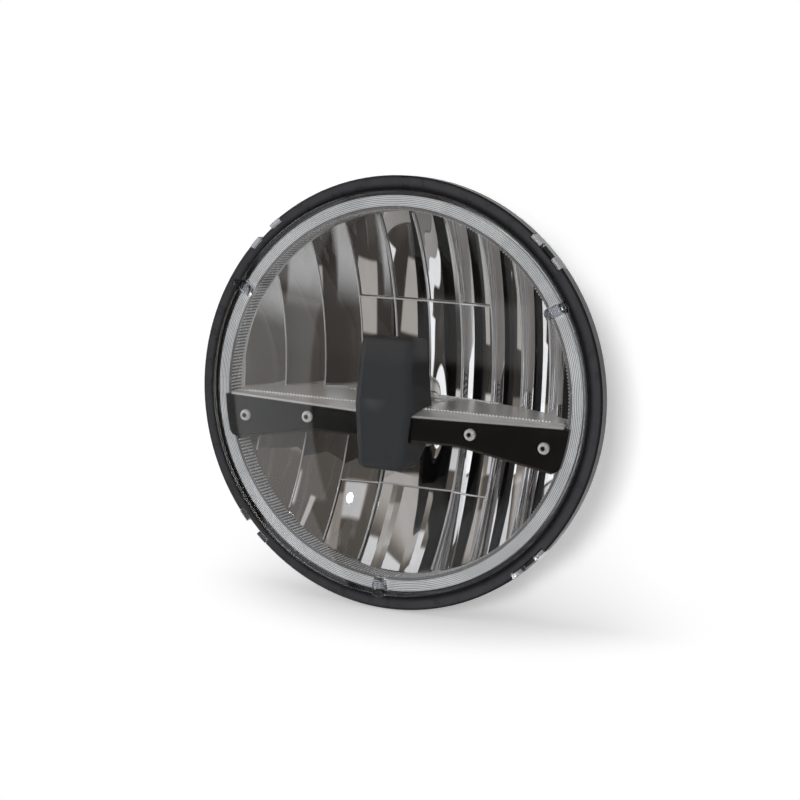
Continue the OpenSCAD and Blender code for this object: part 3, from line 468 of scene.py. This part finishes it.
def thicken(mesh, depth):
    bmesh.ops.recalc_face_normals(mesh, faces=mesh.faces)
    front = sum(face.normal.y * face.calc_area() for face in mesh.faces)
    if front > 0:
        bmesh.ops.reverse_faces(mesh, faces=mesh.faces)
    bmesh.ops.solidify(mesh, geom=mesh.faces, thickness=depth * mm)
    for edge in mesh.edges:
        edge.smooth = edge.calc_face_angle(3) < radians(30)


def finishPiece(name, mesh, material, smooth=True):
    data = bpy.data.meshes.new(name)
    mesh.to_mesh(data)
    mesh.free()
    data.materials.append(materials[material])
    for polygon in data.polygons:
        polygon.use_smooth = smooth
    piece = bpy.data.objects.new(name, data)
    scene.collection.objects.link(piece)
    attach(piece, "root")
    return piece


def pairs(edges):
    return list(zip(edges[:-1], edges[1:]))


def shelfLine(x):
    ball, centre = bowlSphere()
    back = centre - sqrt(ball * ball - x * x)
    return bowl["shelf"] + (bowl["beadHeight"] - back) * bowl["shelfRise"] + 0.05


def upperSkin():
    mesh = bmesh.new()
    edges = [i * bowl["upperPitch"] for i in range(-5, 6)]
    inner = 2 * bowl["upperPitch"]
    for pair in pairs(edges):
        stepped = abs(pair[0] + pair[1]) / 2 < inner
        top = (lambda x: bowl["upperLedge"]) if stepped else (lambda x: 99)
        facetSheet(mesh, pair, shelfLine, top, 0, bowl["upperReach"])
        if stepped:
            facetSheet(mesh, pair, lambda x: bowl["upperLedge"], lambda x: 99, bowl["step"],
                       bowl["upperReach"])
    thicken(mesh, bowl["skin"])
    return finishPiece("upperMirrorCoat", mesh, "upperMirror")


def barLowEdge(x):
    x = abs(x)
    inner, outer, knee, toe = -16.4, -23.6, 31, 70
    return inner + (outer - inner) * max(0, x - knee) / (toe - knee)


def lowerSkin():
    mesh = bmesh.new()
    edges = [i * bowl["lowerPitch"] for i in range(-5, 6) if i]
    inner = 2 * bowl["lowerPitch"]
    for pair in pairs(edges):
        stepped = abs(pair[0] + pair[1]) / 2 < inner
        bottom = (lambda x: bowl["lowerLedge"]) if stepped else (lambda x: -99)
        facetSheet(mesh, pair, bottom, lambda x: barLowEdge(x) - bowl["barGap"], 0,
                   bowl["lowerReach"])
        if stepped:
            facetSheet(mesh, pair, lambda x: -99, lambda x: bowl["lowerLedge"],
                       bowl["step"] * bowl["lowerStepShare"], bowl["lowerReach"])
    thicken(mesh, bowl["skin"])
    return finishPiece("lowerMirrorCoat", mesh, "lowerMirror")


# Fine rounded ridges along the facets' borders and the ledges
ridge = {"halfWidth": 0.36, "rise": 0.34, "sink": 0.12, "acrossCount": 6, "alongCount": 72}


# Bends a grid into a half round strip along a path that runs from 0 to 1
def ridgeStrip(mesh, pathPoint, across):
    grid = bmesh.ops.create_grid(mesh, x_segments=ridge["acrossCount"], y_segments=ridge["alongCount"],
                                 size=1)
    for vertex in grid["verts"]:
        x, forward, z = pathPoint((vertex.co.y + 1) / 2)
        turn = vertex.co.x * radians(90)
        x += sin(turn) * ridge["halfWidth"] * across[0]
        z += sin(turn) * ridge["halfWidth"] * across[1]
        forward += cos(turn) * ridge["rise"]
        vertex.co = (x * mm, -forward * mm, z * mm)


def borderHeight(x, z, left, right, grow):
    heights = [facetHeight(x, z, edges, grow) for edges in (left, right)]
    return max(heights) - ridge["sink"]


def uprightRidges(mesh, edges, lowZ, highZ):
    limit = bowl["rimRadius"] - 1
    for left, right in zip(pairs(edges)[:-1], pairs(edges)[1:]):
        x = left[1]
        rim = sqrt(limit * limit - x * x)
        low, high = max(lowZ(x), -rim), min(highZ(x), rim)
        if high - low > 2:
            ridgeStrip(mesh, lambda t: (x, borderHeight(x, low + t * (high - low), left, right, 0),
                                        low + t * (high - low)), (1, 0))


def ledgeRidge(mesh, edges, z):
    low, high = edges[0] + 0.2, edges[-1] - 0.2
    spans = pairs(edges)

    def point(t):
        x = low + t * (high - low)
        span = next(pair for pair in spans if pair[0] <= x <= pair[1])
        return x, facetHeight(x, z, span, 0) - ridge["sink"], z

    ridgeStrip(mesh, point, (0, 1))


def ridges():
    mesh = bmesh.new()
    upper = [i * bowl["upperPitch"] for i in range(-5, 6)]
    lower = [i * bowl["lowerPitch"] for i in range(-5, 6) if i]
    uprightRidges(mesh, upper, shelfLine, lambda x: 99)
    uprightRidges(mesh, lower, lambda x: -99, lambda x: barLowEdge(x) - 1.2)
    ledgeRidge(mesh, [i * bowl["upperPitch"] for i in range(-2, 3)], bowl["upperLedge"])
    ledgeRidge(mesh, [i * bowl["lowerPitch"] for i in (-2, -1, 1, 2)], bowl["lowerLedge"])
    thicken(mesh, bowl["skin"])
    return finishPiece("facetRidges", mesh, "ridgeChrome")


# Two rows of beads on the shelf, one along its front edge and one where it meets the bowl
beads = {"radius": 0.5, "pitch": 1.4, "frontReach": 68, "backReach": 34, "backStart": 5, "frontStart": 13}


def bead(mesh, x, forward):
    height = bowl["shelf"] + (bowl["beadHeight"] - forward) * bowl["shelfRise"]
    place = Matrix.Translation((x * mm, -forward * mm, height * mm))
    bmesh.ops.create_icosphere(mesh, subdivisions=2, radius=beads["radius"] * mm, matrix=place)


def shelfBeads():
    mesh = bmesh.new()
    for side in (-1, 1):
        for i in range(int(beads["frontReach"] / beads["pitch"]) + 1):
            x = i * beads["pitch"]
            if x > beads["frontStart"]:
                bead(mesh, side * x, bowl["beadHeight"] - 0.3)
            if beads["backStart"] < x < beads["backReach"]:
                ball, centre = bowlSphere()
                bead(mesh, side * x, centre - sqrt(ball * ball - x * x) + 1.4)
    return finishPiece("shelfBeads", mesh, "beadChrome")


# Dark plates in the bar's four screw sockets, painted shade in their recesses
sockets = {"places": ((66.7, -14.7, 9.3), (36.3, -12.1, 11.9)), "radius": 1.02, "depth": 0.1}


def socketShadePlates():
    mesh = bmesh.new()
    turn = Matrix.Rotation(radians(90), 4, "X")
    for x, z, forward in sockets["places"]:
        for side in (-1, 1):
            place = Matrix.Translation((side * x * mm, -forward * mm, z * mm)) @ turn
            bmesh.ops.create_cone(mesh, cap_ends=True, segments=6, radius1=sockets["radius"] * mm,
                                  radius2=sockets["radius"] * mm, depth=sockets["depth"] * mm, matrix=place)
    return finishPiece("socketShadePlates", mesh, "socketShade", smooth=False)


upperSkin()
lowerSkin()
ridges()
shelfBeads()
socketShadePlates()
print("mirror skins, ridges, beads and sockets made")

# Floor and a close wall that catches the shadow, both white to the camera where they are bare
# Mirrors see the floor only as a bright sheet to the right, fading out to the front and the left
stage = {
    "floorZ": -89.5,
    "frontY": -180,
    "wallY": 73.5,
    "half": 500,
    "rearY": 600,
    "top": 700,
    "cove": 60,
    "grey": 0.86,
    "lift": 0.32,
    "fadeY": (-140, -60),
    "fadeX": (-22, -8),
    "fadeFar": (120, 230),
    "fadeLow": (-70, -30),
    "fadeNear": (70, 125),
    "shadowPlace": (15, 55, -80),
}


# Distance of the shaded point from a place given in mm
def reachFrom(tree, geometry, place):
    node = addNode(tree, "ShaderNodeVectorMath", operation="DISTANCE")
    tree.links.new(geometry.outputs["Position"], node.inputs[0])
    node.inputs[1].default_value = [v * mm for v in place]
    return node.outputs["Value"]


def paleFinish():
    material, tree, shader = newMaterial("stagePale")
    links = tree.links
    shader.inputs["Base Color"].default_value = (stage["grey"], stage["grey"], stage["grey"], 1)
    shader.inputs["Roughness"].default_value = 0.95
    shader.inputs["Specular IOR Level"].default_value = 0
    glow = addNode(tree, "ShaderNodeEmission")
    path = addNode(tree, "ShaderNodeLightPath")
    seen = calc(tree, "MAXIMUM", path.outputs["Is Camera Ray"], path.outputs["Is Transmission Ray"])
    links.new(calc(tree, "MULTIPLY", seen, stage["lift"]), glow.inputs["Strength"])
    both = addNode(tree, "ShaderNodeAddShader")
    links.new(shader.outputs[0], both.inputs[0])
    links.new(glow.outputs[0], both.inputs[1])
    place = addNode(tree, "ShaderNodeNewGeometry")
    parts = addNode(tree, "ShaderNodeSeparateXYZ")
    links.new(place.outputs["Position"], parts.inputs[0])
    # Away from the lamp the backdrop turns to plain white, and the floor does so sooner than the wall
    far = ramp(tree, reachFrom(tree, place, (0, 0, 0)), *(v * mm for v in stage["fadeFar"]), 0, 1)
    low = ramp(tree, parts.outputs["Z"], *(v * mm for v in stage["fadeLow"]), 1, 0)
    reach = reachFrom(tree, place, stage["shadowPlace"])
    near = ramp(tree, reach, *(v * mm for v in stage["fadeNear"]), 0, 1)
    bare = calc(tree, "MAXIMUM", far, calc(tree, "MULTIPLY", low, near))
    sheet = addNode(tree, "ShaderNodeMixShader")
    links.new(calc(tree, "MULTIPLY", bare, seen), sheet.inputs[0])
    links.new(both.outputs[0], sheet.inputs[1])
    links.new(addNode(tree, "ShaderNodeEmission").outputs[0], sheet.inputs[2])
    front = ramp(tree, parts.outputs["Y"], *(v * mm for v in stage["fadeY"]), 1, 0)
    left = ramp(tree, parts.outputs["X"], *(v * mm for v in stage["fadeX"]), 1, 0)
    dim = calc(tree, "MULTIPLY", calc(tree, "MAXIMUM", front, left), path.outputs["Is Glossy Ray"])
    # Seen from behind it isn't there
    gone = calc(tree, "MAXIMUM", dim, place.outputs["Backfacing"])
    final = addNode(tree, "ShaderNodeMixShader")
    links.new(gone, final.inputs[0])
    links.new(sheet.outputs[0], final.inputs[1])
    links.new(addNode(tree, "ShaderNodeBsdfTransparent").outputs[0], final.inputs[2])
    links.new(final.outputs[0], tree.nodes["Material Output"].inputs["Surface"])
    return material


def makeStaged(name, mesh, material):
    data = bpy.data.meshes.new(name)
    mesh.to_mesh(data)
    mesh.free()
    data.materials.append(material)
    for polygon in data.polygons:
        polygon.use_smooth = True
    piece = bpy.data.objects.new(name, data)
    scene.collection.objects.link(piece)
    return piece


# Side view of the backdrop as depth and height, for a share of its length: floor, cove, wall
def backdropPoint(share):
    cove, wall, floor = stage["cove"], stage["wallY"], stage["floorZ"]
    lengths = (wall - cove - stage["frontY"], cove * radians(90), stage["top"] - floor - cove)
    along = share * sum(lengths)
    if along < lengths[0]:
        return stage["frontY"] + along, floor
    along -= lengths[0]
    if along < lengths[1]:
        turn = along / cove
        return wall - cove + cove * sin(turn), floor + cove - cove * cos(turn)
    return wall, floor + cove + along - lengths[1]


def floorSheet(name, start, end, drop, material):
    mesh = bmesh.new()
    bmesh.ops.create_grid(mesh, x_segments=1, y_segments=1, size=0.5)
    bmesh.ops.scale(mesh, vec=(2 * stage["half"] * mm, (end - start) * mm, 1), verts=mesh.verts)
    sheet = makeStaged(name, mesh, material)
    sheet.location = Vector((0, (start + end) / 2, stage["floorZ"] - drop)) * mm
    return sheet


def makeStage():
    pale = paleFinish()
    mesh = bmesh.new()
    grid = bmesh.ops.create_grid(mesh, x_segments=1, y_segments=300, size=1)
    for vertex in grid["verts"]:
        depth, height = backdropPoint((vertex.co.y + 1) / 2)
        vertex.co = (vertex.co.x * stage["half"] * mm, depth * mm, height * mm)
    backdrop = makeStaged("backdrop", mesh, pale)
    backdrop.visible_diffuse = False
    backdrop.visible_glossy = False
    backdrop.visible_shadow = False
    # The floor itself, for bounced light and for mirrors
    floor = floorSheet("floor", stage["frontY"], stage["wallY"], 0.3, pale)
    floor.visible_camera = False
    # More floor behind the wall, for views from the back
    rear = floorSheet("rearFloor", stage["wallY"] - stage["cove"], stage["rearY"], 0, pale)
    rear.visible_diffuse = False
    rear.visible_glossy = False
    rear.visible_shadow = False


makeStage()

# The dim room in front of the lamp, which only mirrors and gloss see, with soft light panels.
# Azimuth runs from the lamp's front to its right, all angles are in degrees.
room = {
    "radius": 2.5,
    "below": 0.036,
    "above": 0.105,
    "dimTint": (1, 0.89, 0.78),
    "brightTint": (0.98, 0.99, 1),
    "diffuse": 0.45,
}
panels = [
    dict(azimuth=(18, 90), height=(-60, 0), soft=18, glow=0.036),
    dict(azimuth=(-66, -42), height=(-30, 12), soft=1.5, glow=1.1),
    dict(azimuth=(-66, -48), height=(-55, -30), soft=1.5, glow=0.95),
    dict(azimuth=(-100, -76), height=(-50, 14), soft=2, glow=1.1),
    dict(azimuth=(-64, -46), height=(14, 60), soft=2, glow=0.75),
    dict(azimuth=(-94, -83), height=(16, 60), soft=2, glow=0.75),
    dict(azimuth=(-40, -24), height=(14, 58), soft=10, glow=0.36),
    dict(azimuth=(-31, -7), height=(-56, -26), soft=2, glow=0.4),
    dict(azimuth=(-15, 13), height=(3, 18), soft=3, glow=0.62),
    dict(azimuth=(14, 50), height=(4, 20), soft=5, glow=0.24),
    dict(azimuth=(-58, -16), height=(2, 19), soft=3, glow=0.16),
    dict(azimuth=(-13, 4), height=(33, 48), soft=3, glow=0.5),
    dict(azimuth=(15, 19), height=(42, 60), soft=1.5, glow=0.45),
    dict(azimuth=(-26, -13), height=(38, 62), soft=2, glow=0.2),
]
bulb = {"azimuth": -8, "height": 40, "reach": (1.2, 2.2), "glow": 16}


def heading(azimuth, height):
    az, el = radians(azimuth), radians(height)
    return sin(az) * cos(el), -cos(az) * cos(el), sin(el)


# One inside a span of degrees, falling to nothing over a soft edge
def window(tree, angle, span, soft):
    low, high = (radians(v) for v in span)
    edge = radians(soft) / 2
    rise = ramp(tree, angle, low - edge, low + edge, 0, 1)
    fall = ramp(tree, angle, high - edge, high + edge, 1, 0)
    return calc(tree, "MULTIPLY", rise, fall)


def roomFinish():
    material, tree, shader = newMaterial("roomLight")
    links = tree.links
    tree.nodes.remove(shader)
    direction = addNode(tree, "ShaderNodeVectorMath", operation="NORMALIZE")
    links.new(addNode(tree, "ShaderNodeTexCoord").outputs["Object"], direction.inputs[0])
    parts = addNode(tree, "ShaderNodeSeparateXYZ")
    links.new(direction.outputs[0], parts.inputs[0])
    height = calc(tree, "ARCSINE", parts.outputs["Z"])
    azimuth = calc(tree, "ARCTAN2", parts.outputs["X"], calc(tree, "MULTIPLY", parts.outputs["Y"], -1))
    light = ramp(tree, height, 0, radians(24), room["below"], room["above"])
    for panel in panels:
        inside = calc(tree, "MULTIPLY", window(tree, azimuth, panel["azimuth"], panel["soft"]),
                      window(tree, height, panel["height"], panel["soft"]))
        light = calc(tree, "MULTIPLY_ADD", inside, panel["glow"], light)
    near = addNode(tree, "ShaderNodeVectorMath", operation="DOT_PRODUCT")
    links.new(direction.outputs[0], near.inputs[0])
    near.inputs[1].default_value = heading(bulb["azimuth"], bulb["height"])
    inner, outer = (cos(radians(v)) for v in bulb["reach"])
    light = calc(tree, "ADD", light, ramp(tree, near.outputs["Value"], outer, inner, 0, bulb["glow"]))
    shine = addNode(tree, "ShaderNodeEmission")
    links.new(tint(tree, ramp(tree, light, 0.2, 0.7, 0, 1), room["dimTint"], room["brightTint"]),
              shine.inputs["Color"])
    links.new(light, shine.inputs["Strength"])
    links.new(shine.outputs[0], tree.nodes["Material Output"].inputs["Surface"])
    return material


def makeRoom():
    mesh = bmesh.new()
    bmesh.ops.create_uvsphere(mesh, u_segments=48, v_segments=24, radius=room["radius"])
    bmesh.ops.bisect_plane(mesh, geom=mesh.verts[:] + mesh.edges[:] + mesh.faces[:],
                           plane_co=(0, 0, 0), plane_no=(0, 1, 0), clear_outer=True)
    data = bpy.data.meshes.new("room")
    mesh.to_mesh(data)
    mesh.free()
    data.materials.append(roomFinish())
    shell = bpy.data.objects.new("room", data)
    scene.collection.objects.link(shell)
    shell.visible_camera = False
    shell.visible_diffuse = False
    shell.visible_transmission = False
    shell.visible_shadow = False


def makeWorld():
    world = bpy.data.worlds.new("studio")
    world.use_nodes = True
    scene.world = world
    tree = world.node_tree
    links = tree.links
    soft = tree.nodes["Background"]
    soft.inputs["Color"].default_value = (1, 1, 1, 1)
    soft.inputs["Strength"].default_value = room["diffuse"]
    white = addNode(tree, "ShaderNodeBackground")
    white.inputs["Color"].default_value = (1, 1, 1, 1)
    path = addNode(tree, "ShaderNodeLightPath")
    seen = calc(tree, "MAXIMUM", path.outputs["Is Camera Ray"], path.outputs["Is Transmission Ray"])
    seen = calc(tree, "MAXIMUM", seen, path.outputs["Is Glossy Ray"])
    final = addNode(tree, "ShaderNodeMixShader")
    links.new(seen, final.inputs[0])
    links.new(soft.outputs[0], final.inputs[1])
    links.new(white.outputs[0], final.inputs[2])
    links.new(final.outputs[0], tree.nodes["World Output"].inputs["Surface"])


# One soft lamp a little left of the camera and above it
key = {"azimuth": 14, "height": 13, "distance": 1.4, "size": 0.25, "power": 11}


def areaLamp(name, azimuth, height, distance, size, power):
    data = bpy.data.lights.new(name, "AREA")
    data.size = size
    data.energy = power
    lamp = bpy.data.objects.new(name, data)
    lamp.location = Vector(heading(azimuth, height)) * distance
    lamp.rotation_euler = (-lamp.location).to_track_quat("-Z", "Y").to_euler()
    lamp.visible_glossy = False
    scene.collection.objects.link(lamp)


makeWorld()
makeRoom()
areaLamp("keyPanel", **key)
print("stage and lamps made")
